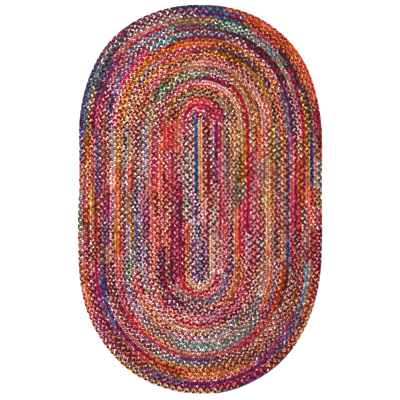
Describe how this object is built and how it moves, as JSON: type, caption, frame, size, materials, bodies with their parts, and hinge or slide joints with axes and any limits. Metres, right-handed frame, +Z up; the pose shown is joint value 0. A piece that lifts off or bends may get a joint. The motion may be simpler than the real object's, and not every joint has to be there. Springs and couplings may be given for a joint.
{
  "type": "braided rug",
  "caption": "Flat oval floor rug coiled from one long three-strand braid, each round laced to the next, with a flat underside that rests on the floor.",
  "frame": {"origin": "middle of the rug's outline, on the floor", "axes": "+Y along the rug's length, towards the end where the centre run starts; +X across its width; +Z up"},
  "size_m": [1.524, 2.438, 0.012],
  "materials": {
    "braided_cotton": "matt multicolour cotton strips"
  },
  "bodies": {
    "root": {"braided_rug": "braided_cotton"}
  },
  "joints": []
}
